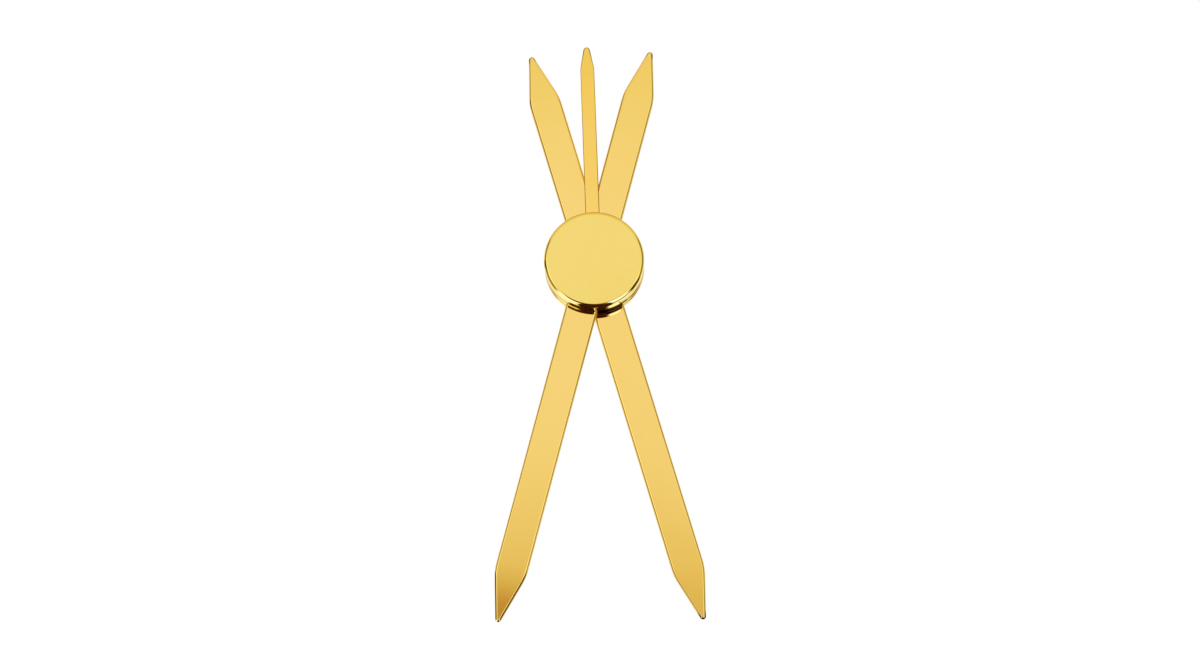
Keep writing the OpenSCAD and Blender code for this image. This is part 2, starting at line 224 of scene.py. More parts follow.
class Solid:
    """A closed mesh under construction, in millimetres."""

    def __init__(self) -> None:
        """Starts an empty solid with layers for its flat caps and its edges."""
        self.bm = bmesh.new()
        self.cap = self.bm.faces.layers.int.new("cap")
        self.edge = self.bm.verts.layers.float.new("edge")

    def loop(self, ring: Ring) -> Loop:
        """Adds the vertices of a ring.

        Args:
            ring: The ring.

        Returns:
            The new vertices, in order.
        """
        verts = [self.bm.verts.new((x, y, ring.height)) for x, y in ring.points]
        for vert in verts:
            vert[self.edge] = ring.edge
        return verts

    def loft(self, rings: Sequence[Ring]) -> list[Loop]:
        """Skins rings of equal length, one after the other.

        Args:
            rings: The rings, in order.

        Returns:
            The vertices of each ring.
        """
        loops = [self.loop(ring) for ring in rings]
        for low, high in zip(loops, loops[1:]):
            for i, vert in enumerate(low):
                j = (i + 1) % len(low)
                self.bm.faces.new((vert, low[j], high[j], high[i]))
        return loops

    def fill(self, loops: Sequence[Loop]) -> None:
        """Closes a flat region that is bounded by an outer loop and any holes.

        Args:
            loops: The outer loop and the loops of the holes, all at one height.
        """
        if len(loops) == 1:
            faces = [self.bm.faces.new(loops[0])]
        else:
            pairs = [(loop[i - 1], loop[i]) for loop in loops for i in range(len(loop))]
            edges = [self.bm.edges.get(pair) for pair in pairs]
            made = bmesh.ops.triangle_fill(self.bm, edges=edges, use_beauty=True, normal=(0, 0, 1))
            faces = [item for item in made["geom"] if isinstance(item, bmesh.types.BMFace)]
        for face in faces:
            face[self.cap] = 1

    def plate(self, outer: Sequence[Ring], holes: Sequence[Sequence[Ring]] = ()) -> Solid:
        """Builds a plate from the rings of its outside and of its holes, from the underside up.

        Args:
            outer: Rings of the outside.
            holes: Rings of each hole.

        Returns:
            This solid.
        """
        skins = [self.loft(rings) for rings in (outer, *holes)]
        self.fill([skin[0] for skin in skins])
        self.fill([skin[-1] for skin in skins])
        return self

    def revolve(self, profile: Section, steps: int = ROUND_STEPS, closed: bool = False) -> Solid:
        """Builds a body of revolution about the hub axis.

        Args:
            profile: Radius, height and edge share of each point, along the section.
            steps: Number of facets round the axis.
            closed: Whether the section closes on itself, as a ring's does, or ends in two flat discs.

        Returns:
            This solid.
        """
        loops = self.loft([Ring(circle(r, steps=steps), z, edge) for r, z, edge in profile])
        if closed:
            for i in range(steps):
                j = (i + 1) % steps
                self.bm.faces.new((loops[-1][i], loops[-1][j], loops[0][j], loops[0][i]))
        else:
            self.fill([loops[0]])
            self.fill([loops[-1]])
        return self

    def block(self, points: list[Point], low: float, high: float) -> Solid:
        """Adds a straight block over an outline, between two heights."""
        return self.plate([Ring(points, z) for z in (low, high)])

    def pin(self, radius: float, centre: Point, low: float, high: float) -> Solid:
        """Adds a plain round pin at a place, between two heights."""
        return self.block(circle(radius, centre, PIN_STEPS), low, high)

    def combine(self, other: Solid, cut: Cut) -> Solid:
        """Adds another solid to this one or removes it from this one.

        Args:
            other: The other solid, which is used up.
            cut: What to do with it.

        Returns:
            This solid.
        """
        this_object, other_object = (s.temporary() for s in (self, other))
        modifier = this_object.modifiers.new("combine", "BOOLEAN")
        modifier.operation = cut.value
        modifier.solver = "EXACT"
        modifier.object = other_object
        result = this_object.evaluated_get(bpy.context.evaluated_depsgraph_get())
        self.bm.clear()
        self.bm.from_mesh(result.to_mesh())
        self.cap = self.bm.faces.layers.int["cap"]
        self.edge = self.bm.verts.layers.float["edge"]
        bmesh.ops.remove_doubles(self.bm, verts=self.bm.verts, dist=WELD)
        for spare in (this_object, other_object):
            mesh = spare.data
            bpy.data.objects.remove(spare)
            bpy.data.meshes.remove(mesh)
        return self

    def temporary(self) -> bpy.types.Object:
        """Makes a scratch object of the solid as it is.

        Returns:
            The object.
        """
        bmesh.ops.recalc_face_normals(self.bm, faces=self.bm.faces)
        mesh = bpy.data.meshes.new("scratch")
        self.bm.to_mesh(mesh)
        return linked("scratch", mesh)

    def corner_normals(self) -> list[Vector]:
        """Works out a normal for each face corner, smooth over rounded edges and true on flat caps.

        Returns:
            The normals in the order of the mesh's corners.
        """
        limit = math.cos(math.radians(SHARP_DEG))
        weights = {f: CAP_WEIGHT if f[self.cap] else f.calc_area() for f in self.bm.faces}
        normals = []
        for face in self.bm.faces:
            for vert in face.verts:
                near = [f for f in vert.link_faces if f.normal.dot(face.normal) > limit]
                normals.append(sum((f.normal * weights[f] for f in near), Vector()).normalized())
        return normals

    def finish(self, name: str, node: str, body: Body, slot: Slot, finish: Finish) -> None:
        """Turns the solid into a shown piece that stands for a CAD node.

        Args:
            name: Name of the piece.
            node: CAD node that it stands for.
            body: Body that it rides on.
            slot: Material slot of the record; not used.
            finish: Finish of its surface.
        """
        bmesh.ops.recalc_face_normals(self.bm, faces=self.bm.faces)
        for face in self.bm.faces:
            face.smooth = True
        self.bm.normal_update()
        normals = self.corner_normals()
        self.bm.transform(Matrix.Scale(MM, 4))
        mesh = bpy.data.meshes.new(name)
        self.bm.to_mesh(mesh)
        mesh.normals_split_custom_set(normals)
        mesh.materials.append(finish.material())
        piece = linked(name, mesh)
        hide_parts(node)
        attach(piece, body.value)
        LOG.info("%s: %d faces, stands for %s on %s", name, len(mesh.polygons), node, body.value)
        self.bm.free()


# Shader node groups


class NodeSheet:
    """A node tree with a short call for adding and linking nodes."""

    def __init__(self, tree: bpy.types.NodeTree) -> None:
        """Wraps a node tree and empties it."""
        self.tree = tree
        tree.nodes.clear()

    def feed(self, socket: Socket, value: object) -> None:
        """Links an output to an input, or sets the input's constant.

        Args:
            socket: The input.
            value: The output or the constant.
        """
        if isinstance(value, Socket):
            self.tree.links.new(value, socket)
        else:
            socket.default_value = value

    def add(self, kind: str, inputs: dict[str | int, object] | None = None,
            **settings: object) -> bpy.types.Node:
        """Adds a node.

        Args:
            kind: The node's type.
            inputs: For each input, a constant or the output that feeds it.
            settings: Properties of the node.

        Returns:
            The new node.
        """
        node = self.tree.nodes.new(kind)
        for key, value in settings.items():
            setattr(node, key, value)
        for key, value in (inputs or {}).items():
            self.feed(node.inputs[key], value)
        return node

    def math(self, operation: str, a: object, b: object = 0.0, c: object = 0.0) -> Socket:
        """Adds a Math node and returns its output."""
        return self.add("ShaderNodeMath", {0: a, 1: b, 2: c}, operation=operation).outputs[0]

    def vector(self, operation: str, a: object, b: object) -> bpy.types.Node:
        """Adds a Vector Math node and returns it."""
        return self.add("ShaderNodeVectorMath", {0: a, 1: b}, operation=operation)

    def noise(self, vector: object, scale: object, detail: float) -> Socket:
        """Adds a Noise Texture and returns its value."""
        inputs = {"Vector": vector, "Scale": scale, "Detail": detail}
        return self.add("ShaderNodeTexNoise", inputs).outputs["Fac"]

    def span(self, value: object, low: float, high: float, to_low: float = 0.0,
             to_high: float = 1.0) -> Socket:
        """Adds a smooth Map Range and returns its result.

        Args:
            value: The value to map.
            low: Value that gives to_low.
            high: Value that gives to_high.
            to_low: Result at low.
            to_high: Result at high.

        Returns:
            The mapped value.
        """
        inputs = {0: value, 1: low, 2: high, 3: to_low, 4: to_high}
        node = self.add("ShaderNodeMapRange", inputs, interpolation_type="SMOOTHSTEP")
        return node.outputs[0]

    def mix(self, factor: object, a: object, b: object) -> Socket:
        """Adds a colour Mix node.

        Args:
            factor: Share of b.
            a: The first colour.
            b: The second colour.

        Returns:
            The mixed colour.
        """
        node = self.add("ShaderNodeMix", data_type="RGBA")
        colours = [s for s in node.inputs if s.type == "RGBA"]
        for socket, value in zip([node.inputs[0], *colours], (factor, a, b)):
            self.feed(socket, value)
        return next(s for s in node.outputs if s.type == "RGBA")

    def ramp(self, factor: object, stops: Sequence[tuple[float, Color]]) -> Socket:
        """Adds a Color Ramp, which goes on beyond its first and last stop in their colours.

        Args:
            factor: Place on the ramp, from 0 to 1.
            stops: Place and colour of each stop.

        Returns:
            The colour at the place.
        """
        node = self.add("ShaderNodeValToRGB", {"Fac": factor})
        elements = node.color_ramp.elements
        while len(elements) < len(stops):
            elements.new(1.0)
        for element, (place, colour) in zip(elements, stops):
            element.position = place
            element.color = (*colour, 1.0)
        return node.outputs["Color"]


@dataclass(frozen=True)
class ShaderGroup:
    """A shader node group that several finishes place, with their own values.

    Attributes:
        name: Name of the group.
        inputs: Name, socket type and default of each input.
        outputs: Name and socket type of each output.
        build: Function that adds the nodes and returns what feeds each output.
    """

    name: str
    inputs: Sequence[tuple[str, str, object]]
    outputs: Sequence[tuple[str, str]]
    build: Callable[[NodeSheet, bpy.types.Node], Feeds]

    def tree(self) -> bpy.types.NodeTree:
        """Builds the group, or returns it if it is there.

        Returns:
            The group's node tree.
        """
        if self.name in bpy.data.node_groups:
            return bpy.data.node_groups[self.name]
        tree = bpy.data.node_groups.new(self.name, "ShaderNodeTree")
        for name, kind, default in self.inputs:
            socket = tree.interface.new_socket(name, in_out="INPUT", socket_type=kind)
            if default is not None:
                socket.default_value = default
        for name, kind in self.outputs:
            tree.interface.new_socket(name, in_out="OUTPUT", socket_type=kind)
        sheet = NodeSheet(tree)
        feeds = self.build(sheet, sheet.add("NodeGroupInput"))
        sheet.add("NodeGroupOutput", dict(feeds))
        return tree

    def place(self, sheet: NodeSheet, **inputs: object) -> bpy.types.Node:
        """Places the group in a material.

        Args:
            sheet: The material's nodes.
            inputs: Values or outputs for the group's inputs, with _ for a space in a name.

        Returns:
            The group's node.
        """
        named = {key.replace("_", " "): value for key, value in inputs.items()}
        return sheet.add("ShaderNodeGroup", named, node_tree=self.tree())


HAIR_STRETCH = (1.0, 0.015, 1.0)
HAIR_PATCHES = 90.0
HAIR_ROUGH = 0.05
HAZE_SCALE = 55.0
HAZE_ROUGH = 0.02
MOTTLE_SCALE = 900.0
MOTTLE_SHARE = 0.2
# Scale of the patchiness of the painted dark edge shade.
EDGE_SHADE_SCALE = 400.0
RING_BREAKS = 1500.0
RING_ROUGH = 0.1
FLOAT, COLOUR, VECTOR = "NodeSocketFloat", "NodeSocketColor", "NodeSocketVector"


def build_hairlines(sheet: NodeSheet, given: bpy.types.Node) -> Feeds:
    """Adds fine polishing lines along the local Y axis.

    Args:
        sheet: Nodes of the group.
        given: The group's inputs.

    Returns:
        The sockets that feed the outputs.
    """
    place = given.outputs["Vector"]
    drawn = sheet.vector("MULTIPLY", place, HAIR_STRETCH).outputs[0]
    lines = sheet.noise(drawn, given.outputs["Fineness"], 3.0)
    sparse = sheet.span(sheet.noise(place, HAIR_PATCHES, 2.0), 0.45, 0.7)
    height = sheet.math("MULTIPLY", sheet.span(lines, 0.55, 0.75), sparse)
    haze = sheet.span(sheet.noise(place, HAZE_SCALE, 4.0), 0.3, 0.7)
    rough = sheet.math("MULTIPLY_ADD", haze, HAZE_ROUGH, given.outputs["Smoothest"])
    return {"Height": height, "Roughness": sheet.math("MULTIPLY_ADD", height, HAIR_ROUGH, rough)}


def build_tone(sheet: NodeSheet, given: bpy.types.Node) -> Feeds:
    """Drifts between two tones of one metal, with a faint finer mottle.

    Args:
        sheet: Nodes of the group.
        given: The group's inputs.

    Returns:
        The sockets that feed the outputs.
    """
    wide = sheet.noise(given.outputs["Vector"], given.outputs["Scale"], 1.0)
    fine = sheet.noise(given.outputs["Vector"], MOTTLE_SCALE, 3.0)
    both = sheet.math("MULTIPLY_ADD", fine, MOTTLE_SHARE, sheet.math("MULTIPLY", wide, 1.0 - MOTTLE_SHARE))
    blend = sheet.span(both, 0.3, 0.7)
    return {"Color": sheet.mix(blend, given.outputs["Light"], given.outputs["Deep"])}


def build_edge(sheet: NodeSheet, given: bpy.types.Node) -> Feeds:
    """Marks rounded edges, unevenly, from the mesh's own edge values; on gold the mask paints dark shade.

    Args:
        sheet: Nodes of the group.
        given: The group's inputs.

    Returns:
        The sockets that feed the outputs.
    """
    edge = sheet.add("ShaderNodeAttribute", attribute_name="edge").outputs["Fac"]
    patchy = sheet.span(sheet.noise(given.outputs["Vector"], EDGE_SHADE_SCALE, 3.0), 0.3, 0.6, 0.9, 1.0)
    line = sheet.span(edge, 0.35, 0.9)
    return {"Mask": sheet.math("MULTIPLY", sheet.math("MULTIPLY", line, patchy), given.outputs["Amount"])}


def build_rings(sheet: NodeSheet, given: bpy.types.Node) -> Feeds:
    """Adds the concentric marks of a lathe about a given axis along Z.

    Args:
        sheet: Nodes of the group.
        given: The group's inputs.

    Returns:
        The sockets that feed the outputs.
    """
    from_axis = sheet.vector("SUBTRACT", given.outputs["Vector"], given.outputs["Axis"]).outputs[0]
    wave = {"Vector": from_axis, "Scale": given.outputs["Fineness"], "Distortion": 0.4, "Detail": 2.0}
    rings = sheet.add("ShaderNodeTexWave", wave, wave_type="RINGS", rings_direction="Z").outputs["Fac"]
    broken = sheet.span(sheet.noise(from_axis, RING_BREAKS, 2.0), 0.35, 0.65)
    height = sheet.math("MULTIPLY", rings, broken)
    rough = sheet.math("MULTIPLY_ADD", height, RING_ROUGH, given.outputs["Smoothest"])
    return {"Height": height, "Roughness": rough}


PLACE = ("Vector", VECTOR, None)
MARKS = [("Height", FLOAT), ("Roughness", FLOAT)]
HAIRLINES = ShaderGroup(
    "hairlines", [PLACE, ("Fineness", FLOAT, 4000.0), ("Smoothest", FLOAT, 0.05)], MARKS, build_hairlines)
TONE = ShaderGroup(
    "metal_tone", [PLACE, ("Light", COLOUR, None), ("Deep", COLOUR, None), ("Scale", FLOAT, 40.0)],
    [("Color", COLOUR)], build_tone)
EDGE = ShaderGroup("edge_line", [PLACE, ("Amount", FLOAT, 1.0)], [("Mask", FLOAT)], build_edge)
RINGS = ShaderGroup(
    "turned_rings",
    [PLACE, ("Axis", VECTOR, None), ("Fineness", FLOAT, 2500.0), ("Smoothest", FLOAT, 0.2)],
    MARKS, build_rings)


# Finishes


@dataclass(frozen=True)
class Finish:
    """A bare or plated metal surface with fine lines along one direction.

    Attributes:
        name: Name of the material.
        light: Lighter tone, linear.
        deep: Deeper tone, linear.
        edge: Tone painted along rounded edges, linear; on gold it is painted dark shade.
        smoothest: Roughness between the marks.
        fineness: Scale of the marks.
        relief: Depth of the marks.
        grazing: Tint of what is seen at a grazing angle, linear.
        grain_deg: Direction of the lines about Z, from +Y.
    """

    name: str
    light: Color
    deep: Color
    edge: Color
    smoothest: float
    fineness: float
    relief: float
    grazing: Color = (1.0, 1.0, 1.0)
    grain_deg: float = 0.0

    def marks(self, sheet: NodeSheet, place: Socket) -> bpy.types.Node:
        """Places the group that draws this finish's marks."""
        return HAIRLINES.place(sheet, Vector=place, Fineness=self.fineness, Smoothest=self.smoothest)

    def material(self) -> bpy.types.Material:
        """Builds the material, or returns it if it is there.

        Returns:
            The material.
        """
        if self.name in bpy.data.materials:
            return bpy.data.materials[self.name]
        material = bpy.data.materials.new(self.name)
        material.use_nodes = True
        sheet = NodeSheet(material.node_tree)
        place = sheet.add("ShaderNodeTexCoord").outputs["Object"]
        turn = (0.0, 0.0, math.radians(-self.grain_deg))
        along = sheet.add("ShaderNodeMapping", {"Vector": place, "Rotation": turn}).outputs[0]
        tone = TONE.place(sheet, Vector=place, Light=(*self.light, 1.0), Deep=(*self.deep, 1.0))
        # Rounded edges turn to the finish's edge tone, which on gold is painted dark shade.
        edge = EDGE.place(sheet, Vector=place)
        colour = sheet.mix(edge.outputs["Mask"], tone.outputs["Color"], (*self.edge, 1.0))
        marks = self.marks(sheet, along)
        bump = sheet.add("ShaderNodeBump", {"Height": marks.outputs["Height"], "Distance": self.relief,
                                            "Strength": 0.5})
        metal = sheet.add("ShaderNodeBsdfPrincipled", {
            "Base Color": colour, "Metallic": 1.0, "Roughness": marks.outputs["Roughness"],
            "Specular Tint": (*self.grazing, 1.0), "Normal": bump.outputs["Normal"]})
        sheet.add("ShaderNodeOutputMaterial", {"Surface": metal.outputs["BSDF"]})
        return material


@dataclass(frozen=True)
class Turned(Finish):
    """Metal cut on a lathe, with rings about an axis along Z.

    Attributes:
        axis: Place of the axis, in millimetres.
    """

    axis: Point = AXIS

    def marks(self, sheet: NodeSheet, place: Socket) -> bpy.types.Node:
        """Places the group that draws the rings."""
        axis = (self.axis[0] * MM, self.axis[1] * MM, 0.0)
        return RINGS.place(sheet, Vector=place, Axis=axis, Fineness=self.fineness, Smoothest=self.smoothest)


# Dark tone painted along the gold's rounded edges: painted shade standing in for the dark lines that edges
# reflect.
GOLD_EDGE_SHADE = (0.03, 0.013, 0.004)


class Metal(Enum):
    """Lighter tone, deeper tone and edge tone of each bare metal, linear."""

    BRASS = ((0.72, 0.50, 0.17), (0.62, 0.40, 0.12), (0.80, 0.60, 0.26))
    STEEL = ((0.60, 0.61, 0.63), (0.50, 0.51, 0.53), (0.72, 0.73, 0.75))


class Gold(Enum):
    """Lighter tone, deeper tone and grazing tint of each of the larger pieces, linear."""

    # Grazing tints below white paint shade on the pieces' outlines; the front leg's darkest tint is painted
    # shade on its eye's rim.
    CAP = ((0.91, 0.685, 0.19), (0.89, 0.665, 0.165), (1.0, 0.97, 0.90))
    FRONT_LEG = ((0.935, 0.665, 0.20), (0.92, 0.645, 0.18), (0.62, 0.44, 0.16))
    REAR_LEG = ((0.935, 0.665, 0.20), (0.92, 0.645, 0.18), (0.80, 0.64, 0.33))
    POINTER = ((0.95, 0.64, 0.155), (0.935, 0.62, 0.14), (0.72, 0.55, 0.25))


def gold(name: str, tones: Gold, grain_deg: float = 0.0) -> Finish:
    """Gives the mirror-polished plating of a piece, with hairlines along its own direction."""
    light, deep, grazing = tones.value
    return Finish(name, light, deep, GOLD_EDGE_SHADE, smoothest=0.025, fineness=5000.0, relief=2e-6,
                  grazing=grazing, grain_deg=grain_deg)


def steel(name: str, axis: Point = AXIS) -> Turned:
    """Gives turned steel with its lathe axis at a place."""
    return Turned(name, *Metal.STEEL.value, smoothest=0.22, fineness=2600.0, relief=4e-6, axis=axis)


def cut_brass(name: str, axis: Point = AXIS) -> Turned:
    """Gives machined brass with its lathe axis at a place."""
    return Turned(name, *Metal.BRASS.value, smoothest=0.26, fineness=2200.0, relief=4e-6, axis=axis)


# Sub-assemblies


def heights(node: str) -> tuple[float, float]:
    """Gives the lowest and highest point of a CAD node, in millimetres."""
    low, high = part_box(node)
    return low.z / MM, high.z / MM


def reach(node: str) -> float:
    """Gives how far a CAD node reaches along +X from the hub axis, in millimetres."""
    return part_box(node)[1].x / MM


def azimuth(vert: bmesh.types.BMVert) -> float:
    """Gives the direction of a vertex from the hub axis, in degrees from -Y towards +X."""
    return math.degrees(math.atan2(vert.co.x, -vert.co.y))


def flat(*points: Point) -> Section:
    """Gives points of a section that lie on no rounded edge."""
    return [(r, z, 0.0) for r, z in points]


def fillet(radius: float, corner: Point, start: float, steps: int = 14) -> Section:
    """Gives the section of a rounded outer edge, a quarter turn anticlockwise from start.

    Args:
        radius: Radius of the rounding.
        corner: Centre of the rounding, as radius and height.
        start: Angle at which it starts, in degrees.
        steps: Number of chords.

    Returns:
        Radius, height and edge share of each point.
    """
    points = arc(corner, radius, start, start + 90.0, steps)
    # The edge share peaks mid-rounding, where the gold's painted dark edge shade is strongest.
    return [(r, z, EDGE_SHARE * math.sin(math.pi * k / steps)) for k, (r, z) in enumerate(points)]


@dataclass(frozen=True)
class GearLayout:
    """Places of the gear train's axles, screws and stop in the hub, and the pointer's lean."""

    centre_distance: float = 5.5
    pair_half: float = 21.325
    screw_circle: float = 7.925
    screw_angles: tuple[float, ...] = (20.0, 160.0, 200.0, 340.0)
    screw_r: float = 0.51
    axle_r: float = 0.61
    post_r: float = 1.26
    stop_circle: float = 6.8
    stop_angle: float = 130.0
    stop_sweep: float = 60.0
    pointer_lean: float = 1.0

    def axles(self) -> dict[str, Point]:
        """Gives the place of each axle.

        Returns:
            The places by the names of the axles' gears.
        """
        pairs = {"upper": 90.0, "lower": 270.0}
        sides = {"front": -self.pair_half, "rear": self.pair_half}
        return {f"{pair}_{side}": polar(self.centre_distance, pairs[pair] + sides[side])
                for pair in pairs for side in sides}

    def screws(self) -> list[Point]:
        """Gives the places of the carrier screws."""
        return [polar(self.screw_circle, angle) for angle in self.screw_angles]

    def stop(self) -> Point:
        """Gives the place of the stop pin."""
        return polar(self.stop_circle, self.stop_angle)


@dataclass(frozen=True)
class FrontCap:
    """Low cup-shaped cap with a flat, bare face and rounded edges, over the gear train."""

    layout: GearLayout
    edge_r: float = 0.75
    foot_r: float = 0.5
    wall: float = 1.1
    boss_r: float = 1.2
    screw_depth: float = 1.08
    seat_depth: float = 0.3
    seat_gap: float = 0.01
    notch_w: float = 2.87
    notch_gap: float = 0.05
    # Painted shade: a stretch of the foot, in degrees round the axis, and the height up to which it fades.
    foot_shade_span: tuple[float, float] = (13.0, 38.0)
    foot_shade_height: float = 1.15

    def build(self) -> None:
        """Builds the cap and dresses it in gold."""
        low, high = heights("front_cap")
        radius = reach("front_cap")
        ledge, ledge_r = heights("pointer")[1], reach("pointer") + self.seat_gap
        ceiling = heights("upper_front_axle")[1] - self.seat_depth
        cavity_r = radius - self.wall
        section = flat((cavity_r, ceiling), (cavity_r, ledge), (ledge_r, ledge), (ledge_r, low))
        section += fillet(self.foot_r, (radius - self.foot_r, low + self.foot_r), -90.0)
        # The painted shade on the foot fades out up to this ring.
        section += flat((radius, low + self.foot_shade_height))
        section += fillet(self.edge_r, (radius - self.edge_r, high - self.edge_r), 0.0)
        cap = Solid().revolve(section)
        self.paint_foot_shade(cap, low + self.foot_r)
        bosses, cuts = Solid(), Solid()
        seat = (ceiling - self.seat_depth, ceiling + self.seat_depth)
        for place in self.layout.screws():
            bosses.pin(self.boss_r, place, ledge, seat[1])
            cuts.pin(self.layout.screw_r, place, low, ledge + self.screw_depth)
        for place in self.layout.axles().values():
            cuts.pin(self.layout.axle_r, place, *seat)
        cuts.pin(self.layout.post_r, AXIS, *seat)
        half, middle = self.notch_w / 2, cavity_r / 2
        notch = [(half, middle), (half, 2 * radius), (-half, 2 * radius), (-half, middle)]
        notch = turned(notch, self.layout.pointer_lean)
        cuts.block(notch, low - self.foot_r, ledge + self.notch_gap)
        cap.combine(bosses, Cut.ADD).combine(cuts, Cut.REMOVE)
        cap.finish("hub_cap", "front_cap", Body.HUB, Slot.GOLD_PLATE, gold("gold_cap", Gold.CAP))

    def paint_foot_shade(self, cap: Solid, foot: float) -> None:
        """Paints a stretch of the foot in dark shade, where it takes the full edge value.

        Args:
            cap: The cap's solid.
            foot: Height at which the foot's rounding ends.
        """
        for vert in cap.bm.verts:
            if vert.co.z < foot + self.seat_gap and self.foot_shade_span[0] < azimuth(vert) < self.foot_shade_span[1]:
                vert[cap.edge] = 1.0


@dataclass(frozen=True)
class Pointer:
    """Slim centre pointer in one piece with the plate that carries the gear train."""

    layout: GearLayout
    blade: Spear = Spear(width=2.85, tip_r=0.65, shoulder_r=5.0, half_deg=11.0)
    edge_r: float = 0.25
    bore_r: float = 2.95
    shim_r: float = 4.81
    shim_seat: float = 0.1
    head_r: float = 0.91
    tip_share: float = 2.0
    plate_steps: int = 160
    bore_steps: int = 128

    def outline(self, inset: float) -> list[Point]:
        """Gives the outline of blade and plate, with the blade's edges drawn in.

        Args:
            inset: Distance by which the blade's edges are drawn in.

        Returns:
            The outline's points, clockwise from the tip.
        """
        tip, plate_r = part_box("pointer")[1].y / MM, reach("pointer")
        edge = self.blade.edge(tip, inset)
        foot = math.degrees(math.acos((self.blade.width / 2 - inset) / plate_r))
        plate = arc(AXIS, plate_r, foot, -180.0 - foot, self.plate_steps)
        left = [(-x, y) for x, y in reversed(edge[1:])]
        return turned(edge + plate + left, self.layout.pointer_lean)

    def build(self) -> None:
        """Builds the pointer and dresses it in gold."""
        low, high = heights("pointer")
        step = low + self.shim_seat
        levels = ((self.shim_r, low), (self.shim_r, step), (self.bore_r, step), (self.bore_r, high))
        holes = [[Ring(circle(r, steps=self.bore_steps), z) for r, z in levels]]
        for place in (self.layout.stop(), *self.layout.axles().values()):
            holes.append([Ring(circle(self.layout.axle_r, place, HOLE_STEPS), z) for z in (low, high)])
        screw_r = self.layout.screw_r
        sunk = low + self.head_r - screw_r
        for place in self.layout.screws():
            levels = ((self.head_r, low), (screw_r, sunk), (screw_r, high))
            holes.append([Ring(circle(r, place, HOLE_STEPS), z) for r, z in levels])
        solid = Solid().plate(rounded_rings(self.outline, low, high, self.edge_r), holes)
        # Edges near the pointer's tip get more of the painted dark edge shade.
        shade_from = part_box("pointer")[1].y / MM - 2 * self.blade.tip_r
        for vert in solid.bm.verts:
            share = self.tip_share if vert.co.y > shade_from else EDGE_SHARE
            vert[solid.edge] = min(1.0, share * vert[solid.edge])
        solid.finish("centre_pointer", "pointer", Body.HUB, Slot.GOLD_PLATE,
                     gold("gold_pointer", Gold.POINTER, self.layout.pointer_lean))


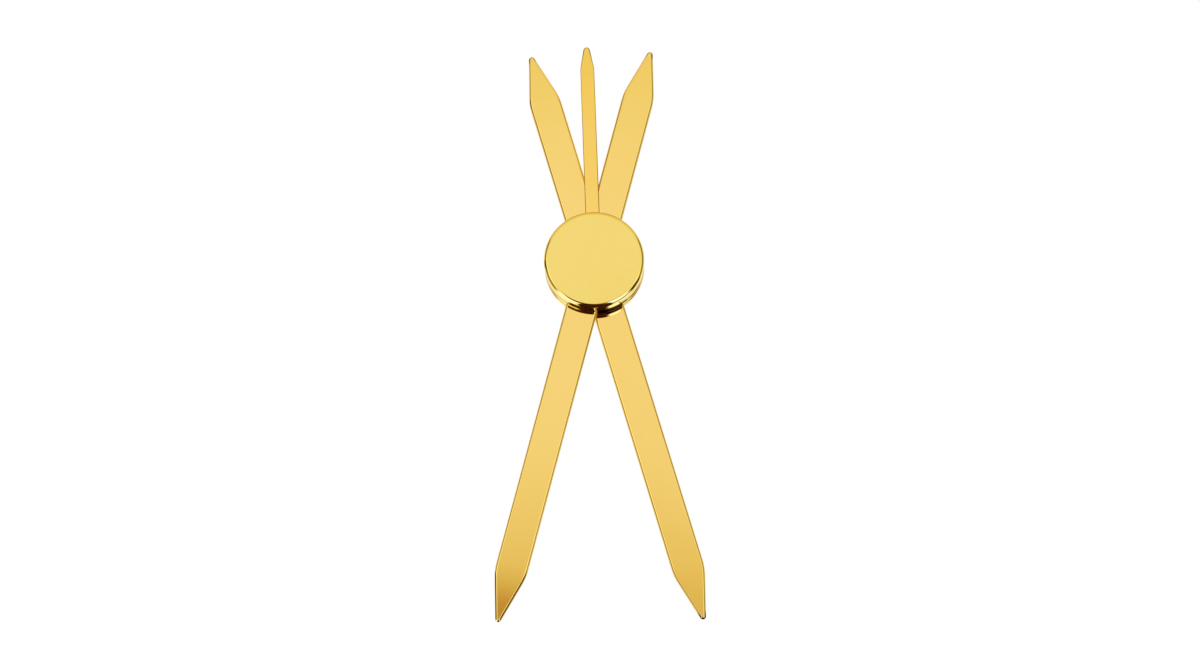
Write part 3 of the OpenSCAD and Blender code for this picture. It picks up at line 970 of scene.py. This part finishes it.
@dataclass(frozen=True)
class Leg:
    """Flat leg with a spear point at both ends and a round eye on the hub axis.

    Attributes:
        node: CAD node of the leg.
        body: Body that it rides on.
        tones: Tones of its plating.
        turn_deg: Angle of the leg about the hub axis as drawn.
        shift: Distance of the bar's midline from the hub axis.
        eye_r: Radius of the eye.
        sleeve_r: Radius of the gear sleeve that the eye is keyed to.
        short_roll: How far the short tip's top is polished down.
        long_roll: How far the long tip's top is polished down.
        slot: Start and end of the stop pin's slot, in degrees, if there is one.
        shaded_rim: Stretch of the eye's rim painted dark all over as painted shade, in degrees from the long
            arm.
        shade_long_tip: Whether the end of the long tip gets the full painted edge shade, as that of the short
            tip does.
    """

    node: str
    body: Body
    tones: Gold
    turn_deg: float
    shift: float
    eye_r: float
    sleeve_r: float
    short_roll: float
    long_roll: float
    slot: tuple[float, float] | None = None
    # Painted shade: a stretch of the eye's rim dark all over, and the full edge shade on the long tip if
    # chosen.
    shaded_rim: tuple[float, float] = (0.0, 0.0)
    shade_long_tip: bool = False
    blade: Spear = Spear(width=6.4, tip_r=0.6, shoulder_r=12.0, half_deg=15.5)
    length: float = 122.0
    ratio: float = 1.618
    edge_r: float = 0.5
    key_depth: float = 0.25
    seat_gap: float = 0.01
    slot_circle: float = 6.8
    slot_half: float = 0.7
    roll_length: float = 12.0
    roll_steps: int = 14
    eye_steps: int = 48

    def reaches(self) -> tuple[float, float]:
        """Gives the reach of the short arm and of the long arm."""
        short = self.length / (1 + self.ratio)
        return short, self.length - short

    def outline(self, inset: float) -> list[Point]:
        """Gives the outline of bar and eye.

        Args:
            inset: Distance by which the outline is drawn in.

        Returns:
            The outline's points, clockwise from the short tip.
        """
        up, down = (self.blade.edge(reach, inset) for reach in self.reaches())
        half, eye = self.blade.width / 2 - inset, self.eye_r - inset
        right = math.degrees(math.acos((half + self.shift) / eye))
        left = math.degrees(math.acos((half - self.shift) / eye))
        moved = [(x + self.shift, y) for x, y in up]
        moved += arc(AXIS, eye, right, -right, self.eye_steps)
        moved += [(x + self.shift, -y) for x, y in reversed(down)]
        moved += [(self.shift - x, -y) for x, y in down[1:]]
        moved += arc(AXIS, eye, 180.0 + left, 180.0 - left, self.eye_steps)
        return moved + [(self.shift - x, y) for x, y in reversed(up[1:])]

    def keyed_bore(self) -> list[Point]:
        """Gives the outline of the round hole with two flats that fits the sleeve.

        Returns:
            The outline's points, anticlockwise.
        """
        radius = self.sleeve_r + self.seat_gap
        flat_deg = math.degrees(math.acos((radius - self.key_depth) / radius))
        upper = arc(AXIS, radius, flat_deg, 180.0 - flat_deg)
        return upper + arc(AXIS, radius, 180.0 + flat_deg, 360.0 - flat_deg)

    def slot_outline(self) -> list[Point]:
        """Gives the outline of the arc-shaped slot for the stop pin.

        Returns:
            The outline's points, anticlockwise.
        """
        start, end = self.slot
        outer = arc(AXIS, self.slot_circle + self.slot_half, start, end)
        inner = arc(AXIS, self.slot_circle - self.slot_half, end, start)
        far = arc(polar(self.slot_circle, end), self.slot_half, end, end + 180.0)
        near = arc(polar(self.slot_circle, start), self.slot_half, start + 180.0, start + 360.0)
        return outer + far[1:-1] + inner + near[1:-1]

    def roll_tips(self, solid: Solid, top: float) -> None:
        """Polishes the top of each tip down in a soft curve.

        Args:
            solid: The leg's solid, before it is turned.
            top: Height of the leg's top.
        """
        bm = solid.bm
        for sign, reach, roll in zip((1, -1), self.reaches(), (self.short_roll, self.long_roll)):
            start = reach - self.roll_length
            for k in range(self.roll_steps):
                place = sign * (start + self.roll_length * k / self.roll_steps)
                geom = bm.verts[:] + bm.edges[:] + bm.faces[:]
                bmesh.ops.bisect_plane(bm, geom=geom, plane_co=(0, place, 0), plane_no=(0, 1, 0))
            for vert in bm.verts:
                along = (sign * vert.co.y - start) / self.roll_length
                if along > 0 and vert.co.z > top - self.edge_r * SLACK:
                    vert.co.z -= roll * along * along

    def paint_edge_shade(self, solid: Solid) -> None:
        """Sets the painted dark edge shade: half on most edges, full at the short tip and at the long tip if
        chosen, and full all over a stretch of the eye's rim.

        Args:
            solid: The leg's solid, before it is turned.
        """
        short, long = (reach - 2 * self.blade.tip_r for reach in self.reaches())
        for vert in solid.bm.verts:
            on_rim = math.hypot(vert.co.x, vert.co.y) < self.eye_r + self.seat_gap
            shaded_rim = on_rim and self.shaded_rim[0] < azimuth(vert) < self.shaded_rim[1]
            at_tip = vert.co.y > short or self.shade_long_tip and -vert.co.y > long
            share = 1.0 if at_tip else EDGE_SHARE
            vert[solid.edge] = math.ceil(vert[solid.edge]) if shaded_rim else share * vert[solid.edge]

    def build(self) -> None:
        """Builds the leg and dresses it in gold."""
        low, high = heights(self.node)
        holes = [self.keyed_bore()] + ([self.slot_outline()] if self.slot else [])
        walls = [[Ring(hole, z) for z in (low, high)] for hole in holes]
        solid = Solid().plate(rounded_rings(self.outline, low, high, self.edge_r), walls)
        self.roll_tips(solid, high)
        self.paint_edge_shade(solid)
        solid.bm.transform(Matrix.Rotation(math.radians(self.turn_deg), 4, "Z"))
        solid.finish(f"{self.node}_blade", self.node, self.body, Slot.GOLD_PLATE,
                     gold(f"gold_{self.node}", self.tones, self.turn_deg))


@dataclass(frozen=True)
class RearCap:
    """Round-edged disc that the compass lies on, with the slotted screw that clamps the hub together."""

    layout: GearLayout
    edge_r: float = 1.6
    rim_r: float = 0.15
    recess_r: float = 6.1
    recess_depth: float = 0.65
    bore_r: float = 0.75
    counterbore_r: float = 1.8
    counterbore_z: float = 0.7
    head_edge_r: float = 0.1
    shank_r: float = 0.7
    slot_w: float = 0.45
    slot_depth: float = 0.3
    slot_over: float = 1.0
    mouth_share: float = 0.6
    edge_steps: int = 24
    rim_steps: int = 5
    head_steps: int = 6
    screw_steps: int = 96

    def build(self) -> None:
        """Builds the disc and dresses it in gold."""
        low, high = heights("rear_cap")
        radius = reach("rear_cap")
        floor, seat, post_r = high - self.recess_depth, heights("pivot_post")[0], self.layout.post_r
        mouth = self.head_edge_r
        # The counterbore's mouth gets part of the painted dark edge shade.
        section = [(self.counterbore_r, low + mouth, self.mouth_share)]
        section += flat((self.counterbore_r + mouth, low))
        section += fillet(self.edge_r, (radius - self.edge_r, low + self.edge_r), -90.0, self.edge_steps)
        section += fillet(self.rim_r, (radius - self.rim_r, high - self.rim_r), 0.0, self.rim_steps)
        section += flat((self.recess_r, high), (self.recess_r, floor), (post_r, floor), (post_r, seat),
                        (self.bore_r, seat), (self.bore_r, self.counterbore_z),
                        (self.counterbore_r, self.counterbore_z))
        solid = Solid().revolve(section, closed=True)
        solid.finish("rear_disc", "rear_cap", Body.HUB, Slot.GOLD_PLATE, gold("gold_rear_cap", Gold.CAP))

    def build_screw(self) -> None:
        """Builds the clamp screw, with its slot, and dresses it in steel."""
        low, high = heights("clamp_screw")
        head_r, edge_r = reach("clamp_screw"), self.head_edge_r
        section = fillet(edge_r, (head_r - edge_r, low + edge_r), -90.0, self.head_steps)
        section += flat((head_r, self.counterbore_z), (self.shank_r, self.counterbore_z),
                        (self.shank_r, high - edge_r), (self.shank_r - edge_r, high))
        half, end = self.slot_w / 2, 2 * head_r
        across = [(end, -half), (end, half), (-end, half), (-end, -half)]
        slot = Solid().block(across, low - self.slot_over, low + self.slot_depth)
        solid = Solid().revolve(section, self.screw_steps).combine(slot, Cut.REMOVE)
        solid.finish("slotted_screw", "clamp_screw", Body.HUB, Slot.STEEL, steel("steel_screw"))


@dataclass(frozen=True)
class InnerWorks:
    """Gear train, axles, washers, spring and small screws, which keep their CAD solids."""

    layout: GearLayout

    def finishes(self) -> dict[str, Finish]:
        """Gives the finish of each CAD node that stays.

        Returns:
            Node names and their finishes.
        """
        sheet_brass = Finish("brass_sheet", *Metal.BRASS.value, smoothest=0.24, fineness=3000.0, relief=3e-6)
        chosen: dict[str, Finish] = {
            "carrier_screws": steel("steel_small"), "stop_pin": steel("steel_stop", self.layout.stop()),
            "pivot_post": steel("steel_post"), "disc_spring": steel("steel_spring"),
            "front_sun_gear": cut_brass("brass_sun"), "rear_sun_gear": cut_brass("brass_sun"),
            "carrier_shim": sheet_brass, "leg_washer": sheet_brass, "thrust_washer": sheet_brass}
        for name, place in self.layout.axles().items():
            chosen[f"{name}_axle"] = steel(f"steel_{name}", place)
            chosen[f"{name}_pinion"] = cut_brass(f"brass_{name}", place)
        return chosen

    def dress(self) -> None:
        """Gives each node its finish."""
        for node, finish in self.finishes().items():
            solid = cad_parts[node]
            if not solid.material_slots:
                solid.data.materials.append(None)
            for slot in solid.material_slots:
                slot.material = finish.material()
            LOG.info("%s: CAD solid in %s", node, finish.name)


# Studio


@dataclass(frozen=True)
class PhotoCamera:
    """Camera at the photograph's viewing angle.

    Attributes:
        focal_px: Focal length in photo pixels.
        distance: Distance from the hub's face, along the line of sight.
        tilt: Angle of the line of sight from the hub axis.
        yaw: Sideways angle of the line of sight.
        roll: Turn of the compass in the picture.
        aim_right: How far the picture's middle lies to the right of the hub.
        aim_up: How far the picture's middle lies above the hub.
        sensor_mm: Width of the sensor.
        clip_end: Distance beyond which nothing is drawn, in metres.
    """

    focal_px: float = 3559.35
    distance: float = 711.4
    tilt: float = 16.0
    yaw: float = -1.033
    roll: float = -0.992
    aim_right: float = 1.198
    aim_up: float = -15.182
    sensor_mm: float = 36.0
    clip_end: float = 100.0

    def axes(self) -> tuple[Vector, Vector, Vector]:
        """Gives the camera's directions in the frame.

        Returns:
            The directions to the right, up and back.
        """
        tilt, yaw = math.radians(self.tilt), math.radians(self.yaw)
        back = Vector((-math.sin(yaw) * math.cos(tilt), -math.sin(tilt), math.cos(yaw) * math.cos(tilt)))
        right = Vector((math.cos(yaw), 0.0, math.sin(yaw)))
        turn = Matrix.Rotation(math.radians(self.roll), 3, "Z")
        return turn @ right, turn @ back.cross(right), turn @ back

    def build(self) -> None:
        """Makes the camera and sets it as the scene's."""
        right, up, back = self.axes()
        face = Vector((0.0, 0.0, heights("front_cap")[1]))
        place = face + self.distance * back + self.aim_right * right + self.aim_up * up
        data = bpy.data.cameras.new("photo_camera")
        data.sensor_width = self.sensor_mm
        data.lens = self.focal_px * self.sensor_mm / PHOTO_WIDTH
        data.clip_end = self.clip_end
        camera = linked("photo_camera", data)
        camera.matrix_world = Matrix((right, up, back)).transposed().to_4x4()
        camera.location = place * MM
        bpy.context.scene.camera = camera


@dataclass(frozen=True)
class Bay:
    """A sector of the studio.

    Attributes:
        start: Angle from the viewer, round the vertical and positive to the right, where it is fully there.
        blend: Angle over which it takes over from the sector before.
        stops: Elevation in degrees and colour there.
    """

    start: float
    blend: float
    stops: Stops


@dataclass(frozen=True)
class Shade:
    """A soft dark disc in the studio's ceiling.

    Attributes:
        middle: Direction of its middle.
        stops: Angle from the middle in degrees and colour there.
    """

    middle: tuple[float, float, float]
    stops: Stops


WHITE = (1.0, 1.0, 1.0)
BASE = (1.0, 0.97, 0.90)
VIEWER = (0.05, 0.018, 0.007)
WALL = (0.10, 0.09, 0.025)
SIDE = (0.31, 0.28, 0.10)
LAMP = (1.08, 1.08, 1.0)
GLINT = (1.5, 1.5, 1.35)
DAY = (1.35, 1.6, 2.6)
HIGH_DAY = (1.5, 2.2, 7.0)
REAR = (0.88, 0.76, 0.42)
BAND_SOFT = 8.0


def banded(dark: Color, low: float, high: float, light: Color, start: float, end: float) -> Stops:
    """Gives a bay with a dark band below a bright one, between the base and the white ceiling.

    Args:
        dark: Colour of the dark band.
        low: Elevation from which it is fully dark.
        high: Elevation up to which it is fully dark.
        light: Colour of the bright band.
        start: Elevation from which it is fully bright.
        end: Elevation up to which it is fully bright.

    Returns:
        The bay's stops.
    """
    return ((low - BAND_SOFT, BASE), (low, dark), (high, dark), (start, light), (end, light),
            (end + BAND_SOFT, WHITE))


FRONT_BAY = ((-62.0, BASE), (-40.0, VIEWER), (62.0, VIEWER), (78.0, WHITE))
LEFT_BAY = ((-62.0, BASE), (-45.0, DAY), (60.0, DAY), (90.0, WHITE))
RIGHT_BAY = ((-62.0, BASE), (-45.0, DAY), (-14.0, DAY), (-6.0, WALL), (14.0, WALL), (22.0, DAY), (55.0, DAY),
             (62.0, HIGH_DAY), (78.0, HIGH_DAY), (90.0, WHITE))
SIDE_BAY = banded(SIDE, 0.0, 42.0, LAMP, 48.0, 62.0)
GLINT_BAY = banded(SIDE, 0.0, 42.0, GLINT, 48.0, 66.0)
RIM_BAY = banded(WALL, -22.0, 48.0, GLINT, 54.0, 64.0)
TIP_BAY = banded(WALL, -22.0, 56.0, GLINT, 61.0, 66.0)
BACK_BAY = ((-50.0, BASE), (-20.0, REAR), (25.0, REAR), (45.0, (0.9, 0.85, 0.6)), (69.5, (0.94, 0.91, 0.66)),
            (70.2, (0.965, 0.96, 0.82)), (71.6, WHITE))


@dataclass(frozen=True)
class Studio:
    """White base and ceiling, dark to the front and the sides, with a window on either side of the viewer.

    Attributes:
        peak: Brightest value of the surroundings.
        bays: Sectors of the surroundings, from the back round by the left.
        shades: Dark discs overhead: the viewer with the lens, and the lamp's own holder.
        floor_glow: Share of plain white in what is seen of the floor.
        floor_white: Brightness of that white.
        floor_tone: Tone of the floor's matt share.
        floor_r: Radius of the floor.
        floor_drop: Gap under the rest face.
    """

    peak: float = 7.0
    bays: tuple[Bay, ...] = (
        Bay(-180.0, 1.0, BACK_BAY), Bay(-130.0, 6.0, SIDE_BAY), Bay(-126.0, 4.0, GLINT_BAY),
        Bay(-107.0, 2.0, RIM_BAY), Bay(-96.0, 5.0, SIDE_BAY), Bay(-60.0, 10.0, LEFT_BAY),
        Bay(-24.0, 6.0, FRONT_BAY), Bay(30.0, 6.0, RIGHT_BAY), Bay(64.0, 8.0, TIP_BAY),
        Bay(86.0, 6.0, GLINT_BAY), Bay(102.0, 6.0, SIDE_BAY), Bay(138.0, 10.0, BACK_BAY))
    shades: tuple[Shade, ...] = (
        Shade((-0.134, -0.263, 0.955), (
            (0.0, VIEWER), (14.0, VIEWER), (15.2, (0.5, 0.33, 0.16)), (16.5, WHITE))),
        Shade((-0.035, 0.0, 1.0), (
            (0.0, (0.40, 0.22, 0.08)), (9.9, (0.59, 0.39, 0.16)), (11.4, (0.785, 0.70, 0.39)),
            (12.0, (0.825, 0.735, 0.47)), (12.9, (0.907, 0.855, 0.645)), (14.0, (0.963, 0.945, 0.85)),
            (14.9, (0.985, 0.975, 0.94)), (16.2, WHITE))))
    floor_glow: float = 0.93
    floor_white: float = 1.035
    floor_tone: float = 0.95
    floor_r: float = 900.0
    floor_drop: float = 0.02

    def surroundings(self, sheet: NodeSheet) -> Socket:
        """Adds the nodes that paint the surroundings.

        Args:
            sheet: Nodes of the world.

        Returns:
            The colour by direction, as a share of the peak.
        """
        direction = sheet.add("ShaderNodeTexCoord").outputs["Generated"]
        x, y, z = sheet.add("ShaderNodeSeparateXYZ", {0: direction}).outputs
        elevation = sheet.math("ADD", sheet.math("DIVIDE", sheet.math("ARCSINE", z), math.pi), 0.5)
        around = sheet.math("DEGREES", sheet.math("ARCTAN2", x, sheet.math("MULTIPLY", y, -1.0)))
        colour: object = (0.0, 0.0, 0.0, 1.0)
        for bay in self.bays:
            stops = [((e + 90.0) / 180.0, tuple(v / self.peak for v in c)) for e, c in bay.stops]
            share = sheet.span(around, bay.start - bay.blend, bay.start)
            colour = sheet.mix(share, colour, sheet.ramp(elevation, stops))
        for shade in self.shades:
            middle = Vector(shade.middle).normalized()
            toward = sheet.vector("DOT_PRODUCT", direction, middle).outputs["Value"]
            angle = sheet.math("DIVIDE", sheet.math("ARCCOSINE", toward), math.pi)
            dimmed = sheet.ramp(angle, [(a / 180.0, c) for a, c in shade.stops])
            colour = sheet.vector("MULTIPLY", colour, dimmed).outputs[0]
        return colour

    def world(self) -> None:
        """Builds the surroundings: white to the camera, a studio to the object."""
        world = bpy.data.worlds.new("studio")
        world.use_nodes = True
        bpy.context.scene.world = world
        sheet = NodeSheet(world.node_tree)
        soft = sheet.add("ShaderNodeBackground", {"Color": self.surroundings(sheet), "Strength": self.peak})
        white = sheet.add("ShaderNodeBackground", {"Color": (*WHITE, 1.0), "Strength": 1.0})
        seen = sheet.add("ShaderNodeLightPath").outputs["Is Camera Ray"]
        both = sheet.add("ShaderNodeMixShader", {0: seen, 1: soft.outputs[0], 2: white.outputs[0]})
        sheet.add("ShaderNodeOutputWorld", {"Surface": both.outputs[0]})

    def floor_material(self) -> bpy.types.Material:
        """Builds the floor's white, which takes the object's shadow and is clear to reflected rays.

        Returns:
            The material.
        """
        material = bpy.data.materials.new("white_table")
        material.use_nodes = True
        sheet = NodeSheet(material.node_tree)
        path = sheet.add("ShaderNodeLightPath").outputs
        seen = sheet.math("MAXIMUM", path["Is Camera Ray"], path["Is Transmission Ray"])
        glow = sheet.add("ShaderNodeEmission", {"Color": (*WHITE, 1.0), "Strength": self.floor_white})
        matt = sheet.add("ShaderNodeBsdfDiffuse", {"Color": (*(self.floor_tone,) * 3, 1.0)})
        share = sheet.math("MULTIPLY", seen, self.floor_glow)
        table = sheet.add("ShaderNodeMixShader", {0: share, 1: matt.outputs[0], 2: glow.outputs[0]})
        clear = sheet.add("ShaderNodeBsdfTransparent")
        both = sheet.add("ShaderNodeMixShader",
                         {0: path["Is Glossy Ray"], 1: table.outputs[0], 2: clear.outputs[0]})
        sheet.add("ShaderNodeOutputMaterial", {"Surface": both.outputs[0]})
        return material

    def floor(self) -> None:
        """Makes the floor under the rest face."""
        bm = bmesh.new()
        verts = [bm.verts.new((x * MM, y * MM, -self.floor_drop * MM)) for x, y in circle(self.floor_r)]
        bm.faces.new(verts)
        mesh = bpy.data.meshes.new("floor")
        bm.to_mesh(mesh)
        bm.free()
        mesh.materials.append(self.floor_material())
        floor = linked("floor", mesh)


def main() -> None:
    """Builds the compass, piece by piece, and the studio round it."""
    logging.basicConfig(level=logging.INFO, format="%(name)s: %(message)s")
    bpy.context.scene.view_settings.view_transform = "Standard"
    PhotoCamera().build()
    studio = Studio()
    studio.world()
    studio.floor()
    layout = GearLayout()
    FrontCap(layout).build()
    Pointer(layout).build()
    stop_slot = (layout.stop_angle, layout.stop_angle + layout.stop_sweep)
    eye_r = reach("front_cap") - EYE_INSET
    # The front leg's eye rim gets painted dark shade over a stretch; the rear leg's long tip gets the full
    # painted edge shade.
    Leg("front_leg", Body.FRONT_LEG, Gold.FRONT_LEG, -REST_HALF, -LEG_SHIFT, eye_r, sleeve_r=2.9,
        short_roll=0.01, long_roll=0.15, slot=stop_slot, shaded_rim=(18.5, 56.0)).build()
    Leg("rear_leg", Body.REAR_LEG, Gold.REAR_LEG, REST_HALF, LEG_SHIFT, eye_r, sleeve_r=1.95,
        short_roll=0.01, long_roll=0.03, shade_long_tip=True).build()
    rear = RearCap(layout)
    rear.build()
    rear.build_screw()
    InnerWorks(layout).dress()


if __name__ == "__main__":
    main()
